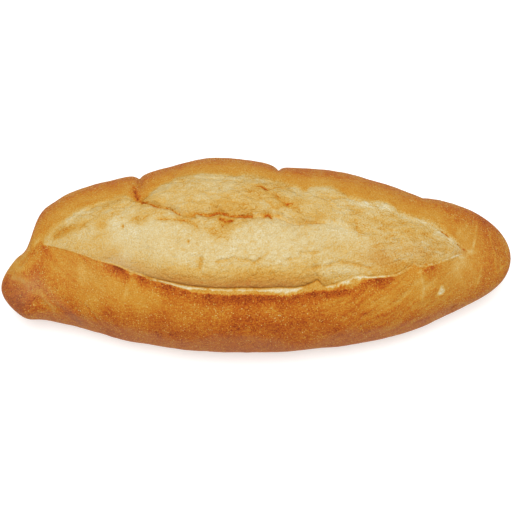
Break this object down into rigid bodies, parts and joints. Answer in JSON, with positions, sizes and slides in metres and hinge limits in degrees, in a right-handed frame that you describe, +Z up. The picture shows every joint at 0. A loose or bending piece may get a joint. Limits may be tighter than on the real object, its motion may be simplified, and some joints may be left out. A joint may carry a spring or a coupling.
{
  "type": "split-top crusty loaf",
  "caption": "Long pointed-oval white bread loaf with a browned crust and a long slash burst open along its top, lying on a flat base; prepared food.",
  "frame": {"origin": "middle of the loaf's outer box, on the table that its flat base lies on", "axes": "+X along the loaf towards its smoothly rounded end, +Y across it away from the slash's sharp lip, +Z up"},
  "size_m": [0.3, 0.1226, 0.074],
  "materials": {
    "crust": "baked, satin on the browned crust and matt on the pale burst"
  },
  "bodies": {
    "root": {"loaf": "crust"}
  },
  "joints": []
}
